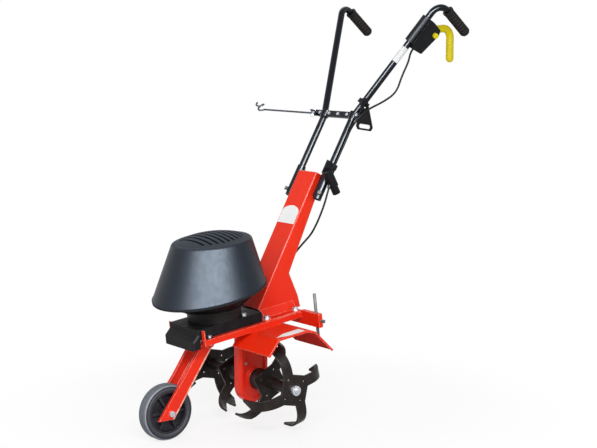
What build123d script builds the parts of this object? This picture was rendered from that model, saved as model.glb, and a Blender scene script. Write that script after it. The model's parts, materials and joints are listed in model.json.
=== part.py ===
from build123d import *
import math
import os

# Machine frame: x to the machine's left, y to its rear, z up, tine shaft over y = 0.
# The deck frame is pitched: x, v along the rails to the rear, w square to them, 0 on top of the rails.
deck_pitch = 7.0
deck_height = 310.0
shaft_height = 130.0

slip = 0.05         # radial clearance where round pieces are assembled and stay
running = 0.08      # radial clearance where round pieces turn
free = 0.4          # gap between faces that move past each other
half_gap = 0.3      # from the joint plane to each half of a split clamp
sheet = 3.0         # red sheet steel
thin = 2.0          # black pressed steel

rail_in, rail_out = 62.0, 90.0
rail_web = 17.0
rail_front, rail_rear = -226.0, 124.0
cross_rear = -150.0
belly_rear = 52.0
tab_width, tab_height = 14.0, 27.0

deck_half = 74.0
deck_top = 29.0
deck_front, deck_rear = -237.0, -16.0
apron_drop, apron_flare, apron_bottom = 14.0, 19.0, 57.0
tail_rear, tail_top = 58.0, 21.0

motor_v = -128.0
base_r, base_height = 77.5, 30.0
stator_r, stator_bore, stator_low, stator_len = 64.0, 36.5, 72.0, 66.0
rotor_gap = 0.5
motor_shaft_r, motor_bearing_r, motor_bearing_w = 6.0, 16.0, 10.0
fan_r, fan_height = 82.0, 18.0

rim_v, rim_w, rim_r, rim_tilt = -136.0, 114.5, 164.0, 5.5
hood_top_v, hood_top_w, hood_top_r = -109.0, 254.0, 114.0
hood_wall, rim_lip, hood_edge, hood_crown = 3.0, 7.0, 11.0, 19.0
louvre_count, louvre_width, louvre_pitch, louvre_r = 9, 6.5, 17.0, 92.0

belt_w, belt_height, belt_thick = 8.0, 10.0, 6.5
motor_pulley_root, worm_pulley_root = 12.0, 29.0

module = 1.75
wheel_teeth, worm_starts = 24, 2
centre_distance = 30.0
worm_length, worm_wheel_width = 44.0, 14.0
worm_shaft_r = 7.0

case_front, case_rear, case_round_z = -53.0, 47.0, shaft_height - 24.0
case_half, case_recess, case_bead, case_round = 19.0, 5.0, 14.0, 8.0
boss_r, boss_reach = 30.0, 27.0
near_bolt_at = [(-33, shaft_height + 46)]
far_bolt_at = [(-33, deck_height - 62), (-30, shaft_height - 38), (18, shaft_height - 44),
               (40, shaft_height + 48), (38, deck_height - 54)]
case_bolt_len, case_head_r, case_head = 24.0, 4.6, 3.0
case_bolt_r, case_screw_r = 2.5, 3.0
case_screw_at = [(x, v) for x in (-27, 27) for v in (-62, 41)]
worm_bearing_r, worm_bearing_w = 16.0, 9.0
worm_low_bearing_r, worm_low_bearing_w, worm_tip_r = 11.0, 7.0, 4.0
seal_w = 4.0
shaft_r = 10.0
shaft_bearing_r, shaft_bearing_w = 21.0, 12.0

plate_thick = 6.0
inner_plate_x, outer_plate_x = 90.0, 203.0
drum_r, hub_r, plate_side = 32.0, 17.0, 88.0
tine_root, tine_run, tine_bend, tine_sweep = 34.0, 86.0, 58.0, 20.0
arm_width, blade_width, blade_slant = 32.0, 30.0, 40.0
inner_reach, outer_reach = 66.0, 80.0
inner_angle, outer_angle = 72.0, 33.0
rivet_at, rivet_r = 39.0, 3.2
shaft_end = 213.0
end_bolt_r, end_washer_r = 4.0, 14.0

guard_in, guard_out, guard_sheet, guard_lip = 36.0, 212.0, 2.5, 5.5
guard_profile = [(-102, -58), (-62, 0), (38, 0), (66, -28), (123, -97)]

bracket_v, bracket_depth, bracket_end = 113.0, 13.0, 172.0
bracket_low, bracket_high = -36.0, 5.0
stay_x, stay_r, stay_top, stay_back = 152.0, 4.5, 62.0, 7.6

column_bolt_x, column_bolt_v, column_bolt_r = rail_in + 8.0, (4.0, 108.0), 4.0
ear_v, ear_half, ear_bolt_r = -204.0, 9.0, 3.0
ear_out, ear_bolt_x = rail_out - 3.0, rail_out - 9.2
deck_bolt_x, deck_bolt_v = deck_half - 10.5, -70.0
screw_r, screw_w = 3.0, -16.0
lead_v = 46.0       # where the lead goes into the tail of the deck
column_half = 42.5
column_foot = (-7.0, deck_height + 28.2)
column_top = (207.0, deck_height + 412.5)
column_back = [(233, deck_height + 399), (105, deck_height + 122), (137, deck_height + 53),
               (148, deck_height + 12)]
tail_half = column_half - sheet - 0.5
flare_rise, flare_out = 24.0, 16.0
foot_front, foot_rear, foot_out = -10.0, 122.0, rail_out - 2.0

handle_x = 66.0
tube_r, tube_wall = 10.0, 1.5
handle_lean = 30.0
bend = (handle_x, 324.0, deck_height + 569.0)
bend_r, top_bend_r = 60.0, 34.0
handle_top = (handle_x + 156.0, 526.0, deck_height + 909.0)
grip_end = (handle_top[0], 634.0, deck_height + 816.4)
sleeve_low, sleeve_len, sleeve_wall = 270.0, 98.0, 2.7
grip_len, grip_r, grip_flange = 101.0, 15.5, 16.8

bar_rise, bar_height, bar_sheet = 7.0, 20.0, 3.5
bar_reach, bar_far_end = handle_x + 26.2, handle_x + 47.0
bar_bolt_r = 3.0
bar_bolt_out = tube_r + 10.0      # from a tube's middle to the clamp bolt outside it
bar_bolt_in = tube_r + 14.0       # and to the one inside it
bar_bolt_x = (-handle_x - bar_bolt_out, bar_bolt_in - handle_x, 0.0, handle_x - bar_bolt_in,
              handle_x + bar_bolt_out)
tongue_low, tongue_thick = -3.5, 3.5
guide_x, guide_out, guide_hub = 10.0 - bar_far_end, 16.0, 9.0
guide_len, guide_r = 250.0, 2.8
eye_r, eye_pitch, eye_turns, eye_tilt = 11.0, 16.0, 1.5, 59.0

hook_at, hook_x, hook_thick = 55.0, handle_x + 37.0, 4.0
# Outline, slot and hole of the hook from the bend of the left tube, to the rear and up
hook_outline = [(1, 59), (23, 59), (29, 33), (45, -30), (38, -40), (-12, -32), (-18, -21), (-2, 26)]
hook_slot = (14.0, -24.5, 45.0, 12.0, -9.0)
hook_hole = (15.5, 35.0, 6.5)
hook_collar = 8.0

wheel_y, wheel_z = -300.0, 75.0
wheel_r, wheel_width = 80.0, 40.0
rim_out, hub_half, spokes = 60.0, wheel_width / 2, 6
pivot_y, pivot_z = -172.0, deck_height - 48.0
arm_sheet, arm_depth, arm_half, arm_gap = 3.0, 9.5, 17.0, 2.5
arm_out = wheel_width / 2 + arm_gap + arm_depth
arm_low = 58.0
axle_r = 6.0

box_at, lever_x = 320.0, handle_x + 128.0
lever_pivot = (bend[1] + 204.0, bend[2] + 259.0)
lever_r, lever_leg, lever_drop = 11.5, 67.0, 86.0
lever_half, lever_pin_r, lever_bend = 11.0, 3.0, 27.0
box_half, box_edge = 22.0, 4.5
box_outline = [(half_gap, -42), (12, -54), (46, -50), (57, 24), (51, 40), (20, 46), (half_gap, 46)]
clamp_low, clamp_high = -42.0, 46.0
button_at, button_r = (43.0, 18.0), 8.2
button_out, button_in, button_travel = 10.0, 5.0, 4.0

lead_r = 3.0
connector_at = (handle_x + tube_r + sleeve_wall + 13.8, 206.0, deck_height + 420.0)
connector_lean = 28.3
collar_at, collar_half = 163.5, 8.0
housing_len, outlet_at, outlet_len = 53.0, 34.0, 24.0
inlet_len, inlet_r, inlet_bore, inlet_depth = 24.0, 12.0, 9.5, 19.0

sin_p, cos_p = math.sin(math.radians(deck_pitch)), math.cos(math.radians(deck_pitch))
DECK = Plane(origin=(0, 0, deck_height), x_dir=(1, 0, 0), z_dir=(0, -sin_p, cos_p))
DECK_SIDE = Plane(origin=(0, 0, deck_height), x_dir=(0, cos_p, sin_p), z_dir=(1, 0, 0))


def deck_at(x, v, w):
    """Machine-frame point of a deck-frame point."""
    return Vector(x, v * cos_p - w * sin_p, deck_height + v * sin_p + w * cos_p)


def deck_of(y, z):
    """Deck-frame v and w of a machine-frame y and z."""
    return y * cos_p + (z - deck_height) * sin_p, (z - deck_height) * cos_p - y * sin_p


def on_deck(v, tilt=0.0):
    """Plane square to the rails at v, with its z up the deck normal."""
    a = math.radians(deck_pitch + tilt)
    return Plane(origin=deck_at(0, v, 0), x_dir=(1, 0, 0), z_dir=(0, -math.sin(a), math.cos(a)))


def block(x0, x1, y0, y1, z0, z1):
    return Pos((x0 + x1) / 2, (y0 + y1) / 2, (z0 + z1) / 2) * Box(x1 - x0, y1 - y0, z1 - z0)


def deck_block(x0, x1, v0, v1, w0, w1):
    return DECK.location * block(x0, x1, v0, v1, w0, w1)


def side_plate(points, x0, x1, plane=Plane.YZ, radius=0.0):
    """Prism between x0 and x1 of a closed outline in a side plane."""
    face = make_face(Polyline(*points, close=True))
    if radius:
        face = fillet(face.vertices(), radius)
    return extrude(plane.offset(x0) * face, amount=x1 - x0)


def turned(points, axis=Axis.Z):
    """Solid of revolution of an outline of (radius, height) points."""
    return revolve(Plane.XZ * make_face(Polyline(*points, close=True)), axis)


def ring(r_out, r_in, h0, h1):
    return turned([(r_in, h0), (r_out, h0), (r_out, h1), (r_in, h1)])


def rod(a, b, r):
    """Round bar from point a to point b."""
    a, b = Vector(*a), Vector(*b)
    return extrude(Plane(origin=a, z_dir=b - a) * Circle(r), amount=(b - a).length)


def along_x(part, x, y, z):
    """Stands a part that was built up the z axis along +x at a point."""
    return Pos(x, y, z) * Rot(0, 90, 0) * part


def mirrored(part):
    return mirror(part, about=Plane.YZ)


def hex_bolt(shank_r, length, head_r, head):
    """Hexagon bolt, shank down from 0, head above."""
    return (extrude(RegularPolygon(head_r, 6), amount=head)
            + Pos(0, 0, -length / 2) * Cylinder(shank_r, length))


def hex_nut(bore_r, across_r, height):
    return extrude(RegularPolygon(across_r, 6) - Circle(bore_r), amount=height)


# Frame: rails, front cross piece with fork lugs, belly plate, stay brackets, one weldment
shaft_v, shaft_w = deck_of(0.0, shaft_height)
worm_v = shaft_v + centre_distance
pivot_v, pivot_w = deck_of(pivot_y, pivot_z)
lug_in = arm_out + free
lug_out = lug_in + 4.0
lug_r = 17.0
pivot_r = 6.0


def build_frame():
    """Half of the frame is drawn on the left side and mirrored."""
    half = deck_block(rail_in, rail_out, rail_front, rail_rear, -sheet, 0)
    half += deck_block(rail_out - sheet, rail_out, rail_front, rail_rear, -rail_web, 0)
    half += deck_block(rail_out - tab_width, rail_out, rail_front, rail_front + sheet, -sheet, tab_height)
    half += deck_block(0, rail_in, rail_front, cross_rear, -sheet, 0)
    half += deck_block(0, rail_out - sheet, cross_rear, belly_rear, -rail_web, -rail_web + 4)
    half += deck_block(0, rail_out - sheet, cross_rear - sheet, cross_rear, -rail_web, 0)
    lug = make_hull((Pos(pivot_v, pivot_w) * Circle(lug_r)).edges()
                    + (Pos(pivot_v, -sheet - 1) * Rectangle(3.0 * lug_r, 2)).edges())
    lug -= Pos(pivot_v, pivot_w) * Circle(pivot_r + slip)
    half += extrude(DECK_SIDE.offset(lug_in) * lug, amount=lug_out - lug_in)
    wall = deck_block(rail_out, bracket_end, bracket_v, bracket_v + bracket_depth, bracket_low, bracket_high)
    wall += deck_block(0, rail_out, bracket_v, bracket_v + bracket_depth, bracket_low, sheet - rail_web)
    wall -= deck_block(rail_out, bracket_end - sheet, bracket_v + sheet, bracket_v + bracket_depth + 1,
                       bracket_low + sheet, bracket_high - sheet)
    wall -= deck_block(-1, rail_out + 1, bracket_v + sheet, bracket_v + bracket_depth + 1,
                       bracket_low + sheet, -rail_web)
    wall -= DECK.location * Pos(stay_x, bracket_v + stay_back, 0) * Cylinder(stay_r + slip, 200)
    wall -= along_x(Cylinder(screw_r + slip, 40), *deck_at(bracket_end, bracket_v + stay_back, screw_w))
    half += wall
    for v in column_bolt_v:
        half -= DECK.location * Pos(column_bolt_x, v, 0) * Cylinder(column_bolt_r + slip, 40)
    half -= DECK.location * Pos(ear_bolt_x, ear_v, 0) * Cylinder(ear_bolt_r + slip, 20)
    whole = half + mirrored(half)
    whole -= on_deck(worm_v).location * Cylinder(worm_bearing_r + 2, 80)
    for x, v in case_screw_at:
        whole -= DECK.location * Pos(x, v, -rail_web) * Cylinder(case_screw_r + slip, 30)
    return whole


def build_deck():
    """Pressed deck: flat top, turned-down sides, flared front apron, narrow tail under the column."""
    top, low = deck_top, deck_top - apron_bottom
    drop = deck_top - apron_drop
    knee = deck_front - apron_flare
    back = rail_front - 6.0
    outline = [(deck_rear, top), (deck_front, top), (deck_front, drop), (knee, drop - 17), (knee, low),
               (back, low), (back, 0), (deck_rear, 0)]
    body = side_plate(outline, -deck_half, deck_half, DECK_SIDE)
    upright = [e for e in body.edges() if e.length < 60 and abs(abs(e.center().X) - deck_half) < 0.1]
    front = [e for e in upright if deck_of(e.center().Y, e.center().Z)[0] < deck_front + 0.5]
    body = fillet(front, 7.0)
    body += deck_block(-tail_half, tail_half, deck_rear - 4, tail_rear, 0, tail_top)
    inner = [(deck_rear - thin, top - thin), (deck_front + thin, top - thin), (deck_front + thin, drop - 1),
             (knee + thin, drop - 18), (knee + thin, low - 1), (back + 1, low - 1), (back + 1, -1),
             (deck_rear - thin, -1)]
    body -= side_plate(inner, thin - deck_half, deck_half - thin, DECK_SIDE)
    tail = tail_half - thin
    body -= deck_block(-tail, tail, deck_rear - 10, tail_rear - thin, -1, tail_top - thin)
    body -= on_deck(motor_v).location * Cylinder(30, 80)
    body -= DECK.location * Pos(0, lead_v, tail_top) * Cylinder(lead_r + slip, 12)
    ear = deck_block(deck_half - 1, ear_out, ear_v - ear_half, ear_v + ear_half, 0, thin)
    ear -= DECK.location * Pos(ear_bolt_x, ear_v, 0) * Cylinder(ear_bolt_r + slip, 20)
    body += ear + mirrored(ear)
    for x in (-deck_bolt_x, deck_bolt_x):
        body -= DECK.location * Pos(x, deck_bolt_v, top) * Cylinder(column_bolt_r + slip, 12)
    return body


# Motor, standing on the deck
MOTOR = on_deck(motor_v).location
base_low = deck_top
base_top = base_low + base_height
lower_seat = base_low + 8
upper_shield_low = stator_low + stator_len
upper_seat = upper_shield_low + 12


def build_motor_base():
    s = stator_low
    outline = [(motor_shaft_r + 2, base_low), (base_r, base_low), (base_r, base_top), (base_r + 10, base_top),
               (base_r + 10, base_top + 4), (stator_r + 4, base_top + 4), (stator_r + 4, s + 8),
               (stator_r + slip, s + 8), (stator_r + slip, s), (stator_r - 7, s),
               (stator_r - 7, base_low + 6), (motor_bearing_r + 6, base_low + 6),
               (motor_bearing_r + 6, lower_seat + motor_bearing_w),
               (motor_bearing_r + slip, lower_seat + motor_bearing_w), (motor_bearing_r + slip, lower_seat),
               (motor_shaft_r + 2, lower_seat)]
    return MOTOR * turned(outline)


def build_top_shield():
    low, seat = upper_shield_low, upper_seat
    outline = [(stator_r - 5, low), (stator_r, low), (stator_r, seat + 16), (motor_shaft_r + 2, seat + 16),
               (motor_shaft_r + 2, seat + motor_bearing_w), (motor_bearing_r + slip, seat + motor_bearing_w),
               (motor_bearing_r + slip, seat), (motor_bearing_r + 6, seat), (motor_bearing_r + 6, seat + 10),
               (stator_r - 5, seat + 10)]
    return MOTOR * turned(outline)


def build_stator():
    """Laminated ring with slots open to the bore."""
    body = ring(stator_r, stator_bore, stator_low, upper_shield_low)
    for k in range(12):
        slot = Pos(stator_bore + 6, 0, stator_low + stator_len / 2) * Box(16, 7, stator_len + 2)
        body -= Rot(0, 0, 30 * k) * slot
    return MOTOR * body


def build_winding():
    """Coil heads above and below the stator."""
    low = ring(stator_r - 9, stator_bore + 4, stator_low - 12, stator_low)
    high = ring(stator_r - 9, stator_bore + 4, upper_shield_low, upper_shield_low + 12)
    return Compound([MOTOR * fillet(low.edges().group_by(Axis.Z)[0], 4),
                     MOTOR * fillet(high.edges().group_by(Axis.Z)[-1], 4)])


def build_motor_shaft():
    r, big = motor_shaft_r, motor_shaft_r + 2
    seat = lower_seat + motor_bearing_w
    fan_top = upper_seat + 20 + fan_height + 6
    return MOTOR * turned([(0, belt_w - 9), (r, belt_w - 9), (r, seat + free), (big, seat + free),
                           (big, upper_seat - free), (r, upper_seat - free), (r, fan_top), (0, fan_top)])


def build_rotor_core():
    r = stator_bore - rotor_gap
    return MOTOR * ring(r, motor_shaft_r + 2 + slip, stator_low + 2, upper_shield_low - 2)


def build_motor_bearings():
    one = ring(motor_bearing_r, motor_shaft_r + running, 0, motor_bearing_w)
    return Compound([MOTOR * Pos(0, 0, lower_seat) * one, MOTOR * Pos(0, 0, upper_seat) * one])


def build_fan():
    low = upper_seat + 20
    body = ring(fan_r, motor_shaft_r + slip, low, low + 2.5)
    body += ring(motor_shaft_r + 8, motor_shaft_r + slip, low, low + fan_height)
    blade = Pos((fan_r + 20) / 2, 0, low + fan_height / 2) * Box(fan_r - 22, 2.5, fan_height)
    for k in range(8):
        body += Rot(0, 0, 45 * k) * blade
    return MOTOR * body


# Hood: an oblique cone between a tilted rim circle and a smaller top circle
RIM = Plane(origin=deck_at(0, rim_v, rim_w), x_dir=(1, 0, 0), z_dir=on_deck(0, rim_tilt).z_dir)
HOOD_TOP = Plane(origin=deck_at(0, hood_top_v, hood_top_w), x_dir=(1, 0, 0), z_dir=DECK.z_dir)
pan_low = base_top + 4


def dome(r, height):
    """Shallow spherical cap on a disc."""
    arc = ThreePointArc((r, 0), (r / 2, 0.75 * height), (0, height))
    sides = Polyline((0, height), (0, -2), (r, -2), (r, 0))
    return revolve(Plane.XZ * make_face(arc.edges() + sides.edges()), Axis.Z)


def build_hood():
    body = loft([RIM * Circle(rim_r), HOOD_TOP * Circle(hood_top_r)])
    body = fillet(body.edges().sort_by(Axis.Z)[-1], hood_edge)
    body += HOOD_TOP.location * dome(hood_top_r - hood_edge * 0.8, hood_crown)
    bead = RIM.location * ring(rim_r + 1.5, rim_r - hood_wall, -rim_lip, 0)
    ceiling = HOOD_TOP.offset(-hood_wall)
    cavity = loft([RIM * Circle(rim_r - hood_wall), ceiling * Circle(hood_top_r - hood_wall - 1)])
    cavity += ceiling.location * dome(hood_top_r - hood_edge, hood_crown)
    body = body - cavity + bead
    for k in range(louvre_count):
        d = (k - (louvre_count - 1) / 2) * louvre_pitch
        half = math.sqrt(louvre_r ** 2 - d ** 2)
        slot = Pos(0, d, 0) * SlotOverall(2 * half, louvre_width)
        body -= extrude(HOOD_TOP.offset(-8) * slot, amount=hood_crown + 16)
    return body


def build_pan():
    """Dish from the motor base out to the inside of the rim."""
    r = rim_r - hood_wall - slip
    low = on_deck(motor_v).offset(pan_low)
    upper = RIM.offset(-rim_lip)
    body = loft([low * Circle(base_r + 9), upper * Circle(r)])
    body += extrude(upper * Circle(r), amount=rim_lip)
    lift = 2.5
    inner = loft([low.offset(lift) * Circle(base_r + 8), upper.offset(lift) * Circle(r - 2)])
    inner += extrude(upper.offset(lift) * Circle(r - 2), amount=rim_lip)
    body -= inner
    body -= MOTOR * Cylinder(stator_r + 4.5, 400)
    return body


# Belt drive inside the deck
motor_belt_r = motor_pulley_root + 0.3
worm_belt_r = worm_pulley_root + 0.3
WORM = on_deck(worm_v).location


def pulley(root, bore):
    flange = root + belt_thick
    low, high = belt_w - belt_height / 2, belt_w + belt_height / 2
    return turned([(bore, low - 3), (flange, low - 3), (flange, low - 0.3), (root, low - 0.3),
                   (root, high + 0.3), (flange, high + 0.3), (flange, high + 2.5), (bore, high + 2.5)])


def build_belt():
    def loop(grow):
        return make_hull((Pos(0, motor_v) * Circle(motor_belt_r + grow)).edges()
                         + (Pos(0, worm_v) * Circle(worm_belt_r + grow)).edges())
    face = loop(belt_thick) - loop(0)
    return extrude(DECK.offset(belt_w - belt_height / 2) * face, amount=belt_height)


# Worm drive inside the gear case
wheel_pitch_r = module * wheel_teeth / 2
worm_pitch_r = centre_distance - wheel_pitch_r
addendum, dedendum = 0.8 * module, module
worm_lead = math.pi * module * worm_starts
lead_angle = math.degrees(math.atan(worm_lead / (2 * math.pi * worm_pitch_r)))
tooth_width = 0.42 * math.pi * module
flank = math.tan(math.radians(20))
worm_low = shaft_w - worm_length / 2
worm_high = shaft_w + worm_length / 2
case_top = -rail_web
upper_bearing_w = case_top - 6 - worm_bearing_w


def build_worm_shaft():
    """Stepped shaft with a two-start helical thread beside the tine shaft."""
    root = worm_pitch_r - dedendum
    tip = worm_pitch_r + addendum
    r = worm_shaft_r
    low = worm_low - worm_low_bearing_w
    top = belt_w + belt_height / 2 + 3
    body = turned([(0, low), (worm_tip_r, low), (worm_tip_r, worm_low + free), (root, worm_low + free),
                   (root, worm_high), (r, worm_high + 2), (r, top), (0, top)])
    wide, narrow = tooth_width / 2 + dedendum * flank, tooth_width / 2 - addendum * flank
    thread_len = worm_length - 10
    for k in range(worm_starts):
        start = Pos(0, 0, worm_low + 5) * Rot(0, 0, 360 * k / worm_starts)
        path = Helix(worm_lead, thread_len, root)
        face = make_face(Polyline((root - 0.6, -wide), (tip, -narrow), (tip, narrow), (root - 0.6, wide),
                                  close=True))
        body += start * sweep(Plane.XZ * face, path=path, is_frenet=True)
    return WORM * body


def build_worm_wheel():
    tip, root = wheel_pitch_r + addendum, wheel_pitch_r - dedendum
    gap = math.pi * module - tooth_width
    body = ring(tip, shaft_r + slip, -worm_wheel_width / 2, worm_wheel_width / 2)
    low, high = gap / 2 - dedendum * flank, gap / 2 + (addendum + 1) * flank
    face = make_face(Polyline((root, -low), (tip + 1, -high), (tip + 1, high), (root, low), close=True))
    cut = Pos(0, 0, -worm_wheel_width) * extrude(face, amount=2 * worm_wheel_width)
    cut = Rot(-lead_angle, 0, 0) * cut
    for k in range(wheel_teeth):
        body -= Rot(0, 0, 360 * (k + wheel_phase) / wheel_teeth) * cut
    return along_x(Rot(0, 0, 90) * body, 0, 0, shaft_height)


wheel_phase = -0.13     # share of a tooth that brings wheel and worm into mesh at rest


def case_outline(inset=0.0):
    """Upright tongue with a round foot, closed above the deck's belly."""
    y0, y1 = case_front + inset, case_rear - inset
    r = (y1 - y0) / 2
    top = deck_height + 20
    edges = Polyline((y1, case_round_z), (y1, top), (y0, top), (y0, case_round_z)).edges()
    foot = ThreePointArc((y0, case_round_z), ((y0 + y1) / 2, case_round_z - r), (y1, case_round_z))
    return make_face(edges + foot.edges())


def case_bolt_places():
    """Seats of the case bolts: one from the left, the others from the right."""
    seat = case_half - case_recess
    near = [Pos(seat, y, z) * Rot(0, 90, 0) for y, z in near_bolt_at]
    return near + [Pos(-seat, y, z) * Rot(0, -90, 0) for y, z in far_bolt_at]


def build_case():
    """Cast case with a raised bead round the joint, bosses for the shaft, chambers for worm and wheel."""
    body = extrude(Plane.YZ * case_outline(), amount=case_half, both=True)
    body = fillet([e for e in body.edges() if abs(abs(e.center().X) - case_half) < 0.1
                   and e.center().Z < deck_height + 15], case_round)
    pocket = extrude(Plane.YZ * case_outline(case_bead), amount=case_recess)
    body -= Pos(case_half - case_recess, 0, 0) * pocket
    body -= Pos(-case_half, 0, 0) * pocket
    body += along_x(Cylinder(boss_r, 2 * boss_reach), 0, 0, shaft_height)
    body += deck_block(-34, 34, -71, 50, case_top - 7, case_top)
    body -= deck_block(-60, 60, -200, 200, case_top, 60)
    body -= along_x(Cylinder(wheel_pitch_r + addendum + 1.5, worm_wheel_width + 4), 0, 0, shaft_height)
    body -= along_x(Cylinder(shaft_r + 2, 2 * boss_reach + 2), 0, 0, shaft_height)
    for x in (-1, 1):
        seat = Cylinder(shaft_bearing_r + slip, shaft_bearing_w + seal_w)
        body -= along_x(seat, x * (boss_reach - (shaft_bearing_w + seal_w) / 2), 0, shaft_height)
    chamber = [(0, worm_low - worm_low_bearing_w), (worm_low_bearing_r + slip, worm_low - worm_low_bearing_w),
               (worm_low_bearing_r + slip, worm_low), (worm_pitch_r + addendum + 1, worm_low),
               (worm_pitch_r + addendum + 1, worm_high + 2), (worm_shaft_r + 2, worm_high + 2),
               (worm_shaft_r + 2, upper_bearing_w), (worm_bearing_r + slip, upper_bearing_w),
               (worm_bearing_r + slip, case_top + 1), (0, case_top + 1)]
    body -= WORM * turned(chamber)
    for place in case_bolt_places():
        body -= place * Pos(0, 0, -case_bolt_len / 2) * Cylinder(case_bolt_r + slip, case_bolt_len)
        body -= place * Pos(0, 0, 10) * Cylinder(case_head_r + 0.6, 20)
    for x, v in case_screw_at:
        body -= DECK.location * Pos(x, v, case_top) * Cylinder(case_screw_r + slip, 30)
    return body


def build_case_bearings():
    """Two bearings of the worm shaft and two of the tine shaft."""
    high = ring(worm_bearing_r, worm_shaft_r + running, upper_bearing_w, upper_bearing_w + worm_bearing_w)
    low = ring(worm_low_bearing_r, worm_tip_r + running, worm_low - worm_low_bearing_w, worm_low)
    one = ring(shaft_bearing_r, shaft_r + running, 0, shaft_bearing_w)
    left = along_x(one, boss_reach - seal_w - shaft_bearing_w, 0, shaft_height)
    return Compound([WORM * high, WORM * low, left, mirrored(left)])


def build_seals():
    one = ring(shaft_bearing_r, shaft_r + running, 0, seal_w + 1)
    left = along_x(one, boss_reach - seal_w, 0, shaft_height)
    return Compound([left, mirrored(left)])


def build_case_bolts():
    parts = []
    for place in case_bolt_places():
        parts.append(place * hex_bolt(case_bolt_r, case_bolt_len, case_head_r, case_head))
    for x, v in case_screw_at:
        place = DECK.location * Pos(x, v, case_top - 7) * Rot(180, 0, 0)
        parts.append(place * hex_bolt(case_screw_r, 11, 5.5, 4))
    return Compound(parts)


# Tines
def build_tine_shaft():
    return along_x(turned([(0, -shaft_end), (shaft_r, -shaft_end), (shaft_r, shaft_end), (0, shaft_end)])
                   - Pos(0, 0, shaft_end) * Cylinder(end_bolt_r + slip, 50)
                   - Pos(0, 0, -shaft_end) * Cylinder(end_bolt_r + slip, 50), 0, 0, shaft_height)


def blade(reach):
    """Arm that leaves the plate askew and bends over a wide radius into a pointed blade along the shaft."""
    path = FilletPolyline((-20, 0), (tine_run, 0), (tine_run + 3, reach), radius=tine_bend)
    bent = extrude(Plane.XZ * trace(path, plate_thick), amount=blade_width, both=True)
    a, b = arm_width / 2, blade_width / 2
    plan = make_face(Polyline((-30, -a), (12, -a), (tine_run - 25, -b), (tine_run + 20, -b), (tine_run + 20, b),
                              (tine_run - 25, b), (12, a), (-30, a), close=True))
    bent &= Pos(0, 0, -20) * extrude(plan, amount=reach + 40)
    end = make_face(Polyline((-20, -b - 5), (reach + 3, -b - 5), (reach + 3, -b + 4), (reach - blade_slant, b),
                             (reach - blade_slant, b + 5), (-20, b + 5), close=True))
    bent &= extrude(Plane(origin=(0, 0, 0), x_dir=(0, 0, 1), z_dir=(-1, 0, 0)) * end, amount=300, both=True)
    return mirror(Pos(tine_root, 0, 0) * Rot(0, 0, -tine_sweep) * bent, about=Plane.XY)


def rotor(angles, hub, reach):
    """Hub and square plate built up z, with blades from its corners that reach towards -z."""
    plate = extrude(fillet(Rectangle(plate_side, plate_side).vertices(), 5), amount=plate_thick / 2, both=True)
    body = hub + Rot(0, 0, angles[0] - 45) * plate
    arm = blade(reach)
    for angle in angles:
        body += Rot(0, 0, angle) * arm
    body -= Cylinder(shaft_r + slip, 400)
    for k in range(4):
        body -= Rot(0, 0, angles[0] + 90 * k) * Pos(rivet_at, 0, 0) * Cylinder(rivet_r, 3 * plate_thick)
    return body


def stand_rotor(body, x):
    """Turns a rotor from its own axis to the shaft, angles counted from the rear upwards."""
    turn = Plane(origin=(x, 0, shaft_height), x_dir=(0, 1, 0), z_dir=(1, 0, 0)).location
    return turn * body


def build_rotors():
    drum = ring(drum_r, shaft_r, boss_reach + 1.6 - inner_plate_x, 0)
    drum = fillet(drum.edges().group_by(Axis.Z)[0].sort_by(SortBy.LENGTH)[-1], 4)
    start = inner_plate_x + plate_thick / 2 - outer_plate_x
    inner = rotor([inner_angle, inner_angle + 180], drum, inner_reach)
    outer = rotor([outer_angle + 90 * k for k in range(4)], ring(hub_r, shaft_r, start, 0), outer_reach)
    return stand_rotor(inner, inner_plate_x), stand_rotor(outer, outer_plate_x)


def build_tine_bolts():
    face = outer_plate_x + plate_thick / 2
    washer = ring(end_washer_r, end_bolt_r + slip, 0, shaft_end - face + 2.5)
    washer -= Pos(0, 0, -1) * Cylinder(shaft_r + slip, 2 * (shaft_end - face + 1))
    top = shaft_end + 2.5
    left = [along_x(washer, face, 0, shaft_height),
            along_x(hex_bolt(end_bolt_r, 24, 7.5, 5.5), top, 0, shaft_height)]
    return Compound(left + [mirrored(p) for p in left])


# Mudguards and their stays
def build_guard():
    """Folded sheet over the tines with a turned-down outer lip, under the left rail."""
    base = -rail_web - guard_sheet / 2
    pts = [(v, w + base if w == 0 else w) for v, w in guard_profile]
    path = FilletPolyline(*pts, radius=7)
    body = extrude(DECK_SIDE.offset(guard_in) * trace(path, guard_sheet), amount=guard_out - guard_in)
    pull = 1 - (guard_lip - guard_sheet) / 2 / 150.0
    low = [(shaft_v + (v - shaft_v) * pull, shaft_w + (w - shaft_w) * pull) for v, w in pts]
    lip = FilletPolyline(*low, radius=7)
    body += extrude(DECK_SIDE.offset(guard_out - guard_sheet) * trace(lip, guard_lip), amount=guard_sheet)
    return body


def build_stays(guards):
    v = bracket_v + stay_back
    whole = DECK.location * Pos(stay_x, v, (stay_top - 120) / 2) * Cylinder(stay_r, stay_top + 120)
    pieces = (whole - guards).solids()
    top = sorted(pieces, key=lambda s: s.center().Z)[-1]
    return Compound([top, mirrored(top)])


def build_clamp_screws():
    """Set screws in the stay brackets and thumb screws in the sleeves."""
    tip = stay_x + stay_r + slip
    screw = Cylinder(screw_r, bracket_end + 9 - tip, align=(Align.CENTER, Align.CENTER, Align.MIN))
    screw += Pos(0, 0, bracket_end + 9 - tip) * extrude(RegularPolygon(5.5, 6), amount=4.5)
    left = along_x(screw, *deck_at(tip, bracket_v + stay_back, screw_w))
    knob = sleeve_screw()
    return Compound([left, mirrored(left), knob, mirrored(knob)])


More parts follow.
